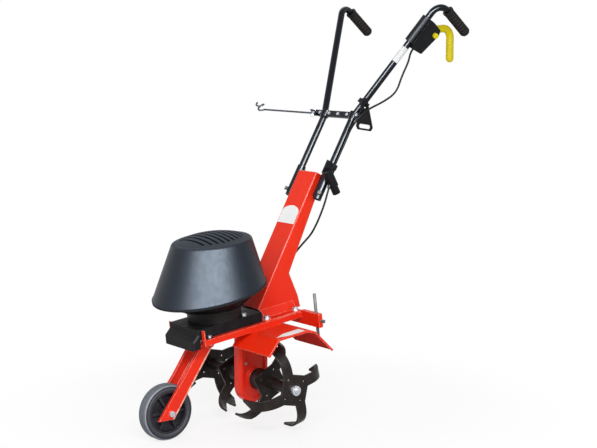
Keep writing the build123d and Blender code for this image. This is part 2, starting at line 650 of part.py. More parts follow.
# Column, folded from sheet and open at the back
def build_column():
    fy, fz = column_foot
    ty, tz = column_top
    length = math.hypot(ty - fy, tz - fz)
    dy, dz = (ty - fy) / length, (tz - fz) / length
    low = deck_height - 30
    outline = [(fy, fz), (ty, tz)] + column_back
    outline += [(column_back[-1][0], low), (fy + 11, low), (fy + 11, fz - 15)]
    body = side_plate(outline, -column_half, column_half)
    folds = [e for e in body.edges()
             if abs(abs(e.center().X) - column_half) < 0.1 and abs(e.length - length) < 1.0]
    body = fillet(folds, 3.5)
    near = (fy + dz * sheet - dy * 60, fz - dy * sheet - dz * 60)
    far = (ty + dz * sheet + dy * 60, tz - dy * sheet + dz * 60)
    hollow = [near, far, (500, far[1]), (500, low - 80), (near[0], low - 80)]
    body -= side_plate(hollow, sheet - column_half, column_half - sheet)
    body -= deck_block(-200, 200, -300, 300, -200, 0)
    foot = deck_block(column_half - sheet, foot_out, foot_front, foot_rear, 0, sheet)
    flare = [(column_half, flare_rise), (column_half - 1, flare_rise), (column_half - 1, sheet - 1),
             (column_half + flare_out, sheet - 1), (column_half + flare_out, sheet)]
    web = make_face(Polyline(*flare, close=True))
    start = Plane(origin=deck_at(0, foot_front + 14, 0), x_dir=(1, 0, 0), z_dir=(0, -cos_p, -sin_p))
    foot += extrude(start * web, amount=foot_front + 14 - foot_rear)
    for v in column_bolt_v:
        foot -= DECK.location * Pos(column_bolt_x, v, 0) * Cylinder(column_bolt_r + slip, 40)
    return body + foot + mirrored(foot)


def build_frame_bolts():
    """Bolts of the column foot with washers and nuts, of the deck's ears and of its top."""
    washer = ring(10.5, column_bolt_r + slip, 0, 2)
    bolt = Pos(0, 0, 2) * hex_bolt(column_bolt_r, 20, 8, 7)
    nut = hex_nut(column_bolt_r + slip, 8, 6.5)
    parts = []
    for v in column_bolt_v:
        place = DECK.location * Pos(column_bolt_x, v, sheet)
        parts += [place * washer, place * bolt, place * Pos(0, 0, -2 * sheet - 6.5) * nut]
    ear = DECK.location * Pos(ear_bolt_x, ear_v, thin)
    parts += [ear * hex_bolt(ear_bolt_r, thin + sheet + 7, 5.8, 6),
              ear * Pos(0, 0, -thin - sheet - 5) * hex_nut(ear_bolt_r + slip, 5.6, 5)]
    deck = DECK.location * Pos(deck_bolt_x, deck_bolt_v, deck_top)
    parts += [deck * hex_bolt(column_bolt_r, thin + 6, 8, 7), deck * Pos(0, 0, -thin - 6.5) * nut]
    return Compound(parts + [mirrored(p) for p in parts])


# Handles
lean = math.radians(handle_lean)
LOW = Vector(0, math.sin(lean), math.cos(lean))
BEND = Vector(*bend)
UP = (Vector(*handle_top) - BEND).normalized()
sleeve_in = tube_r + slip
sleeve_out = sleeve_in + sleeve_wall


def handle_path():
    low = BEND - LOW * (sleeve_low - 6)
    end = Vector(*grip_end) - GRIP * 8
    return FilletPolyline(low, BEND, Vector(*handle_top), end, radius=[bend_r, top_bend_r])


GRIP = (Vector(*grip_end) - Vector(*handle_top)).normalized()


def swept(path, r, bore=0.0):
    face = Circle(r) - Circle(bore) if bore else Circle(r)
    return sweep(Plane(origin=path @ 0, z_dir=path % 0) * face, path=path)


def build_tube():
    return swept(handle_path(), tube_r, tube_r - tube_wall)


def clearance_tube():
    """The handle tube grown by its clearance, for cutting what is clamped on it."""
    return swept(handle_path(), tube_r + slip)


SLEEVE = Plane(origin=BEND - LOW * sleeve_low, x_dir=(1, 0, 0), z_dir=LOW)
screw_at, screw_turn = 18.0, -40.0


def build_sleeve():
    """Round sleeve with a web welded along the column's side plate."""
    body = SLEEVE.location * ring(sleeve_out, sleeve_in, 0, sleeve_len)
    web = block(column_half - handle_x, -tube_r - 1, -2.5, 2.5, 10, sleeve_len - 12)
    body += SLEEVE.location * web
    aim = SLEEVE.location * Rot(0, 0, screw_turn)
    body += aim * Pos(sleeve_out - 1, 0, screw_at) * Rot(0, 90, 0) * Cylinder(6, 6)
    body -= aim * Pos(sleeve_out, 0, screw_at) * Rot(0, 90, 0) * Cylinder(screw_r + slip, 20)
    body -= SLEEVE.location * Cylinder(sleeve_in, 3 * sleeve_len)
    return body


def sleeve_screw():
    start = tube_r + slip
    body = Cylinder(screw_r, 7, align=(Align.CENTER, Align.CENTER, Align.MIN))
    body += Pos(0, 0, 7) * extrude(RegularPolygon(6, 6), amount=4.5)
    return SLEEVE.location * Rot(0, 0, screw_turn) * Pos(start, 0, screw_at) * Rot(0, 90, 0) * body


def build_grip():
    """Moulded grip with a flange, finger rings and a round end."""
    pts = [(tube_r + slip, 0), (grip_flange, 0), (grip_flange, 5), (grip_r, 7)]
    for k in range(7):
        h = 14 + 11 * k
        pts += [(grip_r, h), (grip_r - 1.2, h + 1), (grip_r - 1.2, h + 3), (grip_r, h + 4)]
    pts += [(grip_r, grip_len - 6), (grip_r - 4, grip_len), (0, grip_len), (0, grip_len - 8 + slip),
            (tube_r + slip, grip_len - 8 + slip)]
    place = Plane(origin=Vector(*grip_end) - GRIP * grip_len, z_dir=GRIP)
    return place.location * turned(pts)


# Crossbar of two pressed halves, cable guide and hook
BAR = Plane(origin=Vector(0, *bend[1:]) + LOW * bar_rise, x_dir=(1, 0, 0), z_dir=LOW)
guide_hub_top = tongue_low - free
guide_hub_low = guide_hub_top - guide_hub


def bar_half(side):
    """One half: flat strip with saddles round the tubes; side -1 is the front."""
    face = Pos(0, side * (half_gap + bar_sheet / 2)) * Rectangle(2 * bar_reach, bar_sheet)
    for x in (-handle_x, handle_x):
        face += Pos(x, 0) * Circle(tube_r + slip + bar_sheet)
    face &= Pos(0, side * (half_gap + 50)) * Rectangle(400, 100)
    body = extrude(BAR.offset(-bar_height / 2) * face, amount=bar_height)
    for x in bar_bolt_x:
        body -= BAR.location * Pos(x, 0, 0) * Rot(90, 0, 0) * Cylinder(bar_bolt_r + slip, 60)
    return body


def build_bar_front(tubes):
    body = bar_half(-1)
    body += BAR.location * block(-bar_far_end, 2 - bar_reach, -half_gap - bar_sheet, -half_gap,
                                 -bar_height / 2, bar_height / 2)
    tongue = block(guide_x - 9, guide_x + 9, -guide_out - 9, -2, tongue_low, tongue_low + tongue_thick)
    tongue -= Pos(guide_x, -guide_out, tongue_low) * Cylinder(bar_bolt_r + slip, 20)
    body += BAR.location * tongue
    return body - tubes


def build_bar_bolts():
    reach = half_gap + bar_sheet
    parts = []
    for x in bar_bolt_x:
        place = BAR.location * Pos(x, -reach, 0) * Rot(90, 0, 0)
        parts.append(place * hex_bolt(bar_bolt_r, 2 * reach + 6, 5.5, 4))
        back = BAR.location * Pos(x, reach, 0) * Rot(-90, 0, 0)
        parts.append(back * hex_nut(bar_bolt_r + slip, 5.5, 5))
    pin = Pos(guide_x, -guide_out, tongue_low + tongue_thick) * hex_bolt(bar_bolt_r, 20, 5.5, 4)
    nut = Pos(guide_x, -guide_out, guide_hub_low - free - 5) * hex_nut(bar_bolt_r + slip, 5.5, 5)
    return Compound(parts + [BAR.location * pin, BAR.location * nut])


def build_guide():
    """Swivelling rod with a wound, open eye for the mains cord at its end."""
    mid = (guide_hub_low + guide_hub_top) / 2
    hub = ring(7.5, bar_bolt_r + running, guide_hub_low, guide_hub_top)
    body = Pos(guide_x, -guide_out, 0) * hub
    end = guide_x - guide_len
    body += rod((guide_x - 5, -guide_out, mid), (end, -guide_out, mid), guide_r)
    coil = Helix(eye_pitch, eye_pitch * eye_turns, eye_r, lefthand=True)
    wire = sweep(Plane(origin=coil @ 0, z_dir=coil % 0) * Circle(guide_r), path=coil, is_frenet=True)
    wire += Pos(*(coil @ 1)) * Sphere(guide_r)
    body += Pos(end - eye_r, -guide_out, mid) * Rot(eye_tilt, 0, 0) * wire
    body += Pos(end, -guide_out, mid) * Sphere(guide_r)
    return BAR.location * body


def build_hook(tubes):
    """Strain relief: slotted plate beside the left tube on a collar round it."""
    side = Plane(origin=(0, *bend[1:]), x_dir=(0, 1, 0), z_dir=(1, 0, 0))
    body = side_plate(hook_outline, hook_x, hook_x + hook_thick, side, radius=4.0)
    y, z, length, width, turn = hook_slot
    slot = Pos(y, z) * Rot(0, 0, turn) * SlotOverall(length, width)
    body -= extrude(side.offset(hook_x - 5) * slot, amount=20)
    y, z, r = hook_hole
    body -= extrude(side.offset(hook_x - 5) * Pos(y, z) * Circle(r), amount=20)
    centre = BEND + UP * hook_at
    collar = Plane(origin=centre, z_dir=UP).location * ring(tube_r + hook_collar, tube_r - 3, -7, 7)
    collar += block(centre.X + 5, hook_x + 1, centre.Y - 14, centre.Y - 2, centre.Z - 5, centre.Z + 9)
    return body + collar - tubes


# Switch box on the left upper tube
BOX_AT = BEND + UP * box_at
aim = Vector(0, 0.72, -0.69)
BOX = Plane(origin=BOX_AT, x_dir=(aim - UP * aim.dot(UP)).normalized(), z_dir=UP)


def build_box(tubes):
    """Moulded box below the tube, with a mouth for the lever and a bore for the button."""
    face = make_face(Polyline(*box_outline, close=True))
    face = fillet(face.vertices().sort_by(Axis.X)[2:], 5)
    across = Plane(origin=BOX.origin, x_dir=BOX.x_dir, z_dir=BOX.y_dir * -1)
    body = extrude(across * face, amount=box_half, both=True)
    sides = [e for e in body.edges() if abs(abs(BOX.to_local_coords(e.center()).Y) - box_half) < 0.01]
    body = fillet([e for e in sides if BOX.to_local_coords(e.center()).X > 1], box_edge)
    body += BOX.location * ring_half(1)
    y, z = lever_pivot
    body -= block(lever_x - lever_half - free, lever_x + lever_half + free, y - 14, y + 90, z - 14, z + 60)
    body -= along_x(Cylinder(lever_pin_r + slip, 36), lever_x, y, z)
    r, u = button_at
    bore = BOX.location * Pos(r, -box_half, u) * Rot(90, 0, 0)
    body -= bore * Cylinder(button_r + running, 2 * (button_in + button_travel + 0.5))
    body -= BOX.location * Pos(24, 0, -50) * Cylinder(lead_r + slip, 20)
    return body - tubes


def ring_half(side):
    """Half shell round the tube, on the box side or the far side."""
    face = Circle(tube_r + 6.5) & Pos(side * (half_gap + 50), 0) * Rectangle(100, 100)
    return Pos(0, 0, clamp_low) * extrude(face, amount=clamp_high - clamp_low)


def build_box_clamp(tubes):
    """Half-round cover that clamps the box to the tube."""
    return BOX.location * ring_half(-1) - tubes


def lever_path():
    y, z = lever_pivot
    rear = y + lever_leg
    return FilletPolyline((lever_x, y, z), (lever_x, rear, z + 5), (lever_x, rear, z - lever_drop),
                          radius=lever_bend)


def build_lever():
    """Bent dead-man lever on a cross barrel."""
    y, z = lever_pivot
    path = lever_path()
    body = swept(path, lever_r)
    body += Pos(*(path @ 1)) * Sphere(lever_r)
    body += along_x(Cylinder(11, 2 * lever_half), lever_x, y, z)
    body &= block(lever_x - lever_half, lever_x + lever_half, y - 40, y + 140, z - 140, z + 60)
    body -= along_x(Cylinder(lever_pin_r + running, 60), lever_x, y, z)
    return body


def build_lever_pin():
    y, z = lever_pivot
    return along_x(Cylinder(lever_pin_r, 34), lever_x, y, z)


def build_button():
    r, u = button_at
    body = Cylinder(button_r, button_out + button_in, align=(Align.CENTER, Align.CENTER, Align.MIN))
    body = fillet(body.edges().sort_by(Axis.Z)[-1], 2.5)
    return BOX.location * Pos(r, -box_half + button_in, u) * Rot(90, 0, 0) * body


# Leads and connector
swing = math.radians(connector_lean)
INLET = Plane(origin=connector_at, x_dir=(1, 0, 0), z_dir=(0, math.sin(swing), -math.cos(swing)))
COLLAR = Plane(origin=BEND - LOW * collar_at, x_dir=(1, 0, 0), z_dir=LOW)
OUTLET = Vector(0, -0.378, -0.926).normalized()
outlet_base = INLET.from_local_coords((0, 0, outlet_at))
lead_side = tube_r + lead_r + 1.8


def build_connector(tubes):
    """Housing hung on a collar round the tube above the sleeve, with a gland for each lead."""
    body = INLET.location * extrude(fillet(Rectangle(24, 25).vertices(), 6), amount=housing_len)
    body += rod(outlet_base, outlet_base + OUTLET * outlet_len, lead_r + 2.4)
    clip = ring(tube_r + 4.5, tube_r - 2, -collar_half, collar_half)
    clip += block(sleeve_out + 0.7, sleeve_out + 5.2, -34, 6, -34, collar_half)
    clip += block(tube_r + 0.8, lead_side + 6, -6.5, 6.5, -collar_half, collar_half)
    body += COLLAR.location * clip
    body -= COLLAR.location * Pos(lead_side, 0, collar_half) * Cylinder(lead_r + slip, 12)
    mouth = outlet_base + OUTLET * outlet_len
    body -= rod(mouth - OUTLET * 10, mouth + OUTLET * 5, lead_r + slip)
    return body - tubes


def build_inlet():
    """Round mains inlet, open at its lower end, with two pins standing in it."""
    shell = turned([(0, 0), (inlet_r, 0), (inlet_r, inlet_len), (inlet_bore, inlet_len),
                    (inlet_bore, inlet_len - inlet_depth), (0, inlet_len - inlet_depth)])
    parts = []
    for x in (-5.2, 5.2):
        pin = Pos(x, 0, 2) * Cylinder(1.8, inlet_len - 8, align=(Align.CENTER, Align.CENTER, Align.MIN))
        shell -= pin
        parts.append(pin)
    return Compound([INLET.location * Pos(0, 0, housing_len) * p for p in [shell] + parts])


def lead(points):
    """Round lead of straight runs and tangent arcs as large as the runs allow."""
    pts = [Vector(*p) for p in points]
    radii = []
    for a, b, c in zip(pts, pts[1:], pts[2:]):
        turn = math.radians((b - a).get_angle(c - b))
        radii.append(0.45 * min((b - a).length, (c - b).length) / math.tan(turn / 2))
    path = FilletPolyline(*pts, radius=radii)
    body = swept(path, lead_r)
    section = math.pi * lead_r ** 2 * path.length
    print("lead radii", [round(r, 1) for r in radii], "volume ratio", round(body.volume / section, 4))
    return body


def upper_lead_points():
    start = BOX.from_local_coords((24, 0, -50))
    end = COLLAR.from_local_coords((lead_side, 0, collar_half - 5))
    return [start, start - UP * 14, (157, 463, 1043), (147, 446, 1001), (138, 431, 961), (126, 397, 937),
            (114, 346, 906), (113.5, 322, 892), (109, 303, 873), (88, 299, 848), (80.8, 288, 815),
            end + LOW * 36, end]


def lower_lead_points():
    start = outlet_base + OUTLET * (outlet_len - 9)
    gland = deck_at(0, lead_v, tail_top - 4)
    return [start, start + OUTLET * 19, (90, 202, 640), (84, 191, 604), (74, 181, 570), (60, 169, 535),
            (46, 154, 512), (32, 139, 488), (18, 102, 440), gland + DECK.z_dir * 36, gland]


# Front fork and wheel
arm_run = math.hypot(wheel_y - pivot_y, wheel_z - pivot_z)
ARM = Plane(origin=(0, pivot_y, pivot_z), z_dir=(1, 0, 0),
            x_dir=(0, (wheel_y - pivot_y) / arm_run, (wheel_z - pivot_z) / arm_run))


def build_arm():
    """Channel arm from the pivot to the axle, cut level below the axle."""
    face = Circle(arm_half) + Pos(arm_run / 2 + 25, 0) * Rectangle(arm_run + 50, 2 * arm_half)
    far = arm_run + 50
    wide = make_face(Polyline((arm_run * 0.6, arm_half), (far, arm_half), (far, -arm_half - 7),
                              (arm_run * 0.8, -arm_half - 4), (arm_run * 0.55, -arm_half), close=True))
    face += wide
    hollow = offset(face, -arm_sheet)
    hollow += Pos(arm_run + 40, 0) * Rectangle(40, 2 * arm_half - 2 * arm_sheet)
    body = extrude(ARM.offset(arm_out - arm_depth) * face, amount=arm_depth)
    body -= extrude(ARM.offset(arm_out - arm_depth - 1) * hollow, amount=arm_depth + 1 - arm_sheet)
    body -= block(-100, 100, wheel_y - 150, wheel_y + 150, -100, arm_low)
    body -= along_x(Cylinder(pivot_r + running, 200), 0, pivot_y, pivot_z)
    body -= along_x(Cylinder(axle_r + slip, 200), 0, wheel_y, wheel_z)
    return body


def build_pivot():
    """Pivot bolt with its nut and the distance tube between the arms."""
    bolt = hex_bolt(pivot_r, 2 * lug_out + 9, 9.5, 7)
    tube_half = arm_out - arm_sheet - free
    tube = ring(10, pivot_r + slip, -tube_half, tube_half)
    return Compound([along_x(bolt, lug_out, pivot_y, pivot_z),
                     along_x(tube, 0, pivot_y, pivot_z),
                     along_x(hex_nut(pivot_r + slip, 9.5, 8), -lug_out - 8, pivot_y, pivot_z)])


def build_axle():
    """Axle bolt, nut and the two distance rings beside the hub."""
    bolt = hex_bolt(axle_r, 2 * arm_out + 10, 9.5, 6.5)
    spacer = ring(9.5, axle_r + slip, hub_half + free, arm_out - arm_sheet)
    return Compound([along_x(bolt, arm_out, wheel_y, wheel_z),
                     along_x(hex_nut(axle_r + slip, 9.5, 8), -arm_out - 8, wheel_y, wheel_z),
                     along_x(spacer, 0, wheel_y, wheel_z),
                     mirrored(along_x(spacer, 0, wheel_y, wheel_z))])


def build_tyre():
    """Solid tyre with a rounded tread, two grooves and raised sidewall rings."""
    r, h = wheel_r, wheel_width / 2
    low = rim_out + slip
    half = [(low, 0), (low, h - 3), (r - 16, h - 1.5), (r - 15, h), (r - 11, h), (r - 10, h - 1.5),
            (r - 5, h - 2), (r - 1.5, h - 6), (r, h - 10.5), (r - 2.2, h - 11), (r - 2.2, h - 13),
            (r, h - 13.5), (r, 0)]
    body = turned(half)
    return along_x(body + mirror(body, about=Plane.XY), 0, wheel_y, wheel_z)


def build_wheel_rim():
    """Rim with a closed web, raised spokes on both sides and a stepped hub."""
    h = wheel_width / 2 - 3
    bore = axle_r + running
    body = turned([(bore, -hub_half), (13, -hub_half), (15, -4), (rim_out - 7, -3), (rim_out - 5, -h),
                   (rim_out, -h), (rim_out, h), (rim_out - 5, h), (rim_out - 7, 3), (15, 4), (13, hub_half),
                   (bore, hub_half)])
    spoke = side_plate([(12, 2), (12, hub_half - 3), (rim_out - 6, h - 5), (rim_out - 6, 2)], -3.5, 3.5)
    for k in range(spokes):
        turn = Rot(0, 0, 360 * k / spokes)
        body += turn * spoke
        body += turn * mirror(spoke, about=Plane.XY)
    return along_x(body, 0, wheel_y, wheel_z)


def build_all():
    parts = {}
    parts["chassis_frame"] = build_frame()
    parts["motor_deck"] = build_deck()
    parts["motor_base"] = build_motor_base()
    parts["motor_stator"] = build_stator()
    parts["stator_winding"] = build_winding()
    parts["motor_shaft"] = build_motor_shaft()
    parts["motor_rotor"] = build_rotor_core()
    parts["motor_bearings"] = build_motor_bearings()
    parts["motor_top_shield"] = build_top_shield()
    parts["motor_fan"] = build_fan()
    parts["hood_pan"] = build_pan()
    parts["motor_hood"] = build_hood()
    parts["motor_pulley"] = MOTOR * pulley(motor_pulley_root, motor_shaft_r + slip)
    parts["worm_pulley"] = WORM * pulley(worm_pulley_root, worm_shaft_r + slip)
    parts["drive_belt"] = build_belt()
    parts["worm_shaft"] = build_worm_shaft()
    parts["worm_wheel"] = build_worm_wheel()
    case = build_case()
    parts["left_gear_case"] = split(case, bisect_by=Plane.YZ, keep=Keep.TOP)
    parts["right_gear_case"] = split(case, bisect_by=Plane.YZ, keep=Keep.BOTTOM)
    parts["gear_case_bolts"] = build_case_bolts()
    parts["case_bearings"] = build_case_bearings()
    parts["shaft_seals"] = build_seals()
    parts["tine_shaft"] = build_tine_shaft()
    inner, outer = build_rotors()
    parts["left_inner_tines"], parts["right_inner_tines"] = inner, mirrored(inner)
    parts["left_outer_tines"], parts["right_outer_tines"] = outer, mirrored(outer)
    parts["tine_bolts"] = build_tine_bolts()
    guard = build_guard()
    parts["left_mudguard"], parts["right_mudguard"] = guard, mirrored(guard)
    parts["mudguard_stays"] = build_stays(guard)
    parts["column"] = build_column()
    parts["frame_bolts"] = build_frame_bolts()
    tube = build_tube()
    parts["left_handle_tube"], parts["right_handle_tube"] = tube, mirrored(tube)
    grown = clearance_tube()
    both = [grown, mirrored(grown)]
    sleeve = build_sleeve()
    parts["left_sleeve"], parts["right_sleeve"] = sleeve, mirrored(sleeve)
    parts["clamp_screws"] = build_clamp_screws()
    grip = build_grip()
    parts["left_grip"], parts["right_grip"] = grip, mirrored(grip)
    parts["crossbar_front"] = build_bar_front(both)
    parts["crossbar_back"] = bar_half(1) - both
    parts["crossbar_bolts"] = build_bar_bolts()
    parts["cable_guide"] = build_guide()
    parts["cable_hook"] = build_hook(grown)
    parts["switch_box"] = build_box(grown)
    parts["switch_clamp"] = build_box_clamp(grown)
    parts["switch_lever"] = build_lever()
    parts["lever_pin"] = build_lever_pin()
    parts["safety_button"] = build_button()
    parts["connector_housing"] = build_connector(grown)
    parts["mains_inlet"] = build_inlet()
    parts["switch_lead"] = lead(upper_lead_points())
    parts["motor_lead"] = lead(lower_lead_points())
    arm = build_arm()
    parts["left_fork_arm"], parts["right_fork_arm"] = arm, mirrored(arm)
    parts["fork_pivot"] = build_pivot()
    parts["wheel_axle"] = build_axle()
    parts["wheel_tyre"] = build_tyre()
    parts["wheel_rim"] = build_wheel_rim()
    return parts


# The whole stands with the middle of its bounding box over the origin, on the ground.
eye_tip = guide_x - guide_len - 2 * eye_r - guide_r
frame_x = -(eye_tip + handle_top[0] + grip_flange) / 2
frame_y = -(wheel_y - wheel_r + grip_end[1] - GRIP.Z * (grip_r - 4)) / 2
frame_z = wheel_r - wheel_z

if __name__ == "__main__":
    os.makedirs("parts", exist_ok=True)
    for name, part in build_all().items():
        placed = Pos(frame_x, frame_y, frame_z) * part
        solids = placed.solids()
        whole = solids[0] if len(solids) == 1 else Compound(solids)
        export_step(whole, "parts/" + name + ".step")
        print(name, len(solids), round(whole.volume / 1000, 2))
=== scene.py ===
"""Electric tiller: materials, leads, decals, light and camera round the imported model."""
import json
import math

import bpy
import bmesh
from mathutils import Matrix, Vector


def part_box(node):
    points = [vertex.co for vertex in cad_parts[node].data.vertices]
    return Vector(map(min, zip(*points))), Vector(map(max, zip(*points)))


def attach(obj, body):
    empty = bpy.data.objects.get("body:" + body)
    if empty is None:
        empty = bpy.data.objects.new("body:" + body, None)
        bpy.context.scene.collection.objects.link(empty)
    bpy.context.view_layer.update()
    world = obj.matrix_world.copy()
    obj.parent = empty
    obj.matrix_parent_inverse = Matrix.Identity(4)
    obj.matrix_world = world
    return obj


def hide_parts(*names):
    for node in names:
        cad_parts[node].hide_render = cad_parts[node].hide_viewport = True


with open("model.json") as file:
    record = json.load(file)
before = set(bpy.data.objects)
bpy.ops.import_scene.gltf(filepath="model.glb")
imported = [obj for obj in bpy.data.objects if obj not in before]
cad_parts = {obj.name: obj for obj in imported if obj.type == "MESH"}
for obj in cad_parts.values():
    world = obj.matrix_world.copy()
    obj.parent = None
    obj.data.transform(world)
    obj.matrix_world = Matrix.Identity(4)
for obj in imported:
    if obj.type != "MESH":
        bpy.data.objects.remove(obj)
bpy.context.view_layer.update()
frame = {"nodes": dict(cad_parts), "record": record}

# The machine's own frame in millimetres: tine shaft over y = 0, wheel centre 300 mm ahead and 75 mm up
MM_IN_METRE = 1000
WHEEL_CENTRE = Vector((0, -300.0, 75.0))
wheel_low, wheel_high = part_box("wheel_tyre")
ORIGIN = (wheel_low + wheel_high) / 2 - WHEEL_CENTRE / MM_IN_METRE
DECK_PITCH = math.radians(7.0)
DECK_HEIGHT = 310.0
ACROSS = Vector((1, 0, 0))
ALONG = Vector((0, math.cos(DECK_PITCH), math.sin(DECK_PITCH)))
ABOVE = Vector((0, -math.sin(DECK_PITCH), math.cos(DECK_PITCH)))
WHITE = (1, 1, 1, 1)


def at(point):
    """Row-frame point in metres of a machine-frame point in millimetres."""
    return ORIGIN + Vector(point) / MM_IN_METRE


def on_deck(x, v, w):
    """Machine-frame point of a point in the pitched deck's frame."""
    return Vector((x, 0, DECK_HEIGHT)) + ALONG * v + ABOVE * w


def linked(name, data):
    """Object of some data, linked to the scene."""
    made = bpy.data.objects.new(name, data)
    bpy.context.scene.collection.objects.link(made)
    return made


# Camera
CAMERA_AT = (3246.0, -2352.0, 1127.0)
VIEW_AZIMUTH = math.radians(52.15)
VIEW_DOWN = math.radians(7.76)
camera = linked("camera", bpy.data.cameras.new("camera"))
camera.data.sensor_width = 36.0
camera.data.lens = 84.42
camera.data.shift_x = 0.0012
camera.data.clip_end = 100.0
camera.location = at(CAMERA_AT)
camera.rotation_euler = (math.pi / 2 - VIEW_DOWN, 0, VIEW_AZIMUTH)
bpy.context.scene.camera = camera


# Material building
def linear(r, g, b):
    """Linear colour of display values from 0 to 255, by the sRGB curve."""
    def channel(c):
        c /= 255
        return c / 12.92 if c <= 0.04045 else ((c + 0.055) / 1.055) ** 2.4
    return channel(r), channel(g), channel(b), 1.0


# Socket numbers of a mix node that mixes colours
MIX_SHARE = 0
MIX_FIRST = 6
MIX_SECOND = 7
MIX_RESULT = 2


class Nodes:
    """Short ways to add nodes to a tree."""

    def __init__(self, tree):
        self.tree = tree

    def feed(self, socket, value):
        """Links a socket, or sets a plain value."""
        if isinstance(value, bpy.types.NodeSocket):
            self.tree.links.new(value, socket)
        else:
            socket.default_value = value

    def node(self, kind, **inputs):
        """Node with some of its sockets fed, an underscore in their names standing for a space."""
        made = self.tree.nodes.new("ShaderNode" + kind)
        for socket, value in inputs.items():
            self.feed(made.inputs[socket.replace("_", " ")], value)
        return made

    def math(self, operation, a, b):
        made = self.node("Math")
        made.operation = operation
        self.feed(made.inputs[0], a)
        self.feed(made.inputs[1], b)
        return made.outputs[0]

    def vector(self, operation, a, b=(0, 0, 0)):
        """Vector sum, product or measure."""
        made = self.node("VectorMath")
        made.operation = operation
        self.feed(made.inputs[0], a)
        self.feed(made.inputs[1], b)
        return made.outputs["Value" if operation in ("DOT_PRODUCT", "LENGTH") else "Vector"]

    def span(self, value, low, high, to_low=0.0, to_high=1.0):
        """Value taken from one range to another, and held there."""
        made = self.node("MapRange")
        for k, v in enumerate((value, low, high, to_low, to_high)):
            self.feed(made.inputs[k], v)
        return made.outputs["Result"]

    def band(self, value, start, full, fading, gone, share):
        """Mask of a band of values with soft sides."""
        rising = self.span(value, start, full)
        falling = self.span(value, gone, fading, to_high=share)
        return self.math("MULTIPLY", rising, falling)

    def seen_directly(self):
        """Mask of camera, glossy and transmission rays."""
        rays = self.node("LightPath").outputs
        seen = self.math("MAXIMUM", rays["Is Camera Ray"], rays["Is Glossy Ray"])
        return self.math("MAXIMUM", seen, rays["Is Transmission Ray"])

    def either(self, share, first, second, output):
        """Sends a mix of two shaders to the output node."""
        made = self.node("MixShader")
        for k, v in enumerate((share, first.outputs[0], second.outputs[0])):
            self.feed(made.inputs[k], v)
        self.feed(self.tree.nodes[output].inputs["Surface"], made.outputs[0])


class Look(Nodes):
    """Principled material whose textures are fixed to the piece, in metres."""

    BEVEL_SAMPLES = 6
    EDGE_STARTS = 0.995
    EDGE_FULL = 0.80

    def __init__(self, name, **settings):
        self.material = bpy.data.materials.new(name)
        self.material.use_nodes = True
        super().__init__(self.material.node_tree)
        self.shader = self.tree.nodes["Principled BSDF"]
        self.set(**settings)
        self.place = self.node("TexCoord").outputs["Object"]

    def set(self, **values):
        """Feeds the shader's sockets and gives the material."""
        for socket, value in values.items():
            self.feed(self.shader.inputs[socket.replace("_", " ")], value)
        return self.material

    def along(self, direction):
        """Distance along a direction."""
        return self.vector("DOT_PRODUCT", self.place, direction)

    def facing(self, direction):
        """Cosine between the surface and a direction."""
        return self.vector("DOT_PRODUCT", self.node("NewGeometry").outputs["Normal"], direction)

    def stretched(self, scale):
        """Texture coordinates drawn out along one or two axes."""
        return self.node("Mapping", Vector=self.place, Scale=scale).outputs["Vector"]

    def noise(self, scale, detail, place=None):
        return self.node("TexNoise", Vector=place or self.place, Scale=scale, Detail=detail).outputs["Fac"]

    def patches(self, scale, detail, low, high, to_low=0.0, to_high=1.0):
        """Noise with its middle values spread over a range."""
        return self.span(self.noise(scale, detail), low, high, to_low, to_high)

    def mix(self, share, first, second):
        made = self.node("Mix")
        made.data_type = "RGBA"
        for k, v in ((MIX_SHARE, share), (MIX_FIRST, first), (MIX_SECOND, second)):
            self.feed(made.inputs[k], v)
        return made.outputs[MIX_RESULT]

    def rounded(self, radius):
        """Shading normal rounded at edges."""
        bevel = self.node("Bevel", Radius=radius)
        bevel.samples = self.BEVEL_SAMPLES
        return bevel.outputs["Normal"]

    def rim(self, normal):
        """Mask of the edges where a rounded normal leaves the surface's own."""
        return self.span(self.facing(normal), self.EDGE_STARTS, self.EDGE_FULL)

    def relief(self, height, depth, normal=None):
        """Bump of a height texture, depth in metres, over a normal if one is given."""
        made = self.node("Bump", Height=height, Distance=depth, Strength=1.0)
        if normal:
            self.feed(made.inputs["Normal"], normal)
        return made.outputs["Normal"]


def paint(name, colour, dull, worn_and_sheen, rough, grain, depth, edge=0.0012, wear_and_sheen=0.35, under=None, fold=None,
          **settings):
    """Paint over metal: drifting tone, orange peel, edges pale with wear and painted highlight; if given, an
    underside painted darker as shade and a painted highlight strip along a fold.
    """
    look = Look(name, **settings)
    normal = look.rounded(edge)
    rim = look.rim(normal)
    # A painted highlight strip along a fold joins the pale edges.
    if fold:
        rim = look.math("MAXIMUM", rim, fold(look))
    tone = look.mix(look.patches(scale=7.0, detail=4.0, low=0.3, high=0.72), colour, dull)
    gloss = look.patches(scale=38.0, detail=5.0, low=0.25, high=0.75,
                         to_low=rough * 0.8, to_high=rough * 1.25)
    if under:
        # Faces turned down get painted shade: a darker colour, and more roughness.
        below = look.span(look.facing(ABOVE), low=-0.3, high=-0.5)
        tone = look.mix(below, tone, under)
        gloss = look.math("MAXIMUM", gloss, below)
    scuff = look.patches(scale=90.0, detail=6.0, low=0.30, high=0.55)
    # Pale edges: wear, and on the red sheets mostly a painted highlight.
    wear_and_sheen_at = look.math("MULTIPLY", look.math("MULTIPLY", rim, scuff), wear_and_sheen)
    peel = look.noise(scale=grain, detail=2.0)
    return look.set(Base_Color=look.mix(wear_and_sheen_at, tone, worn_and_sheen), Roughness=gloss,
                    Normal=look.relief(peel, depth, normal))


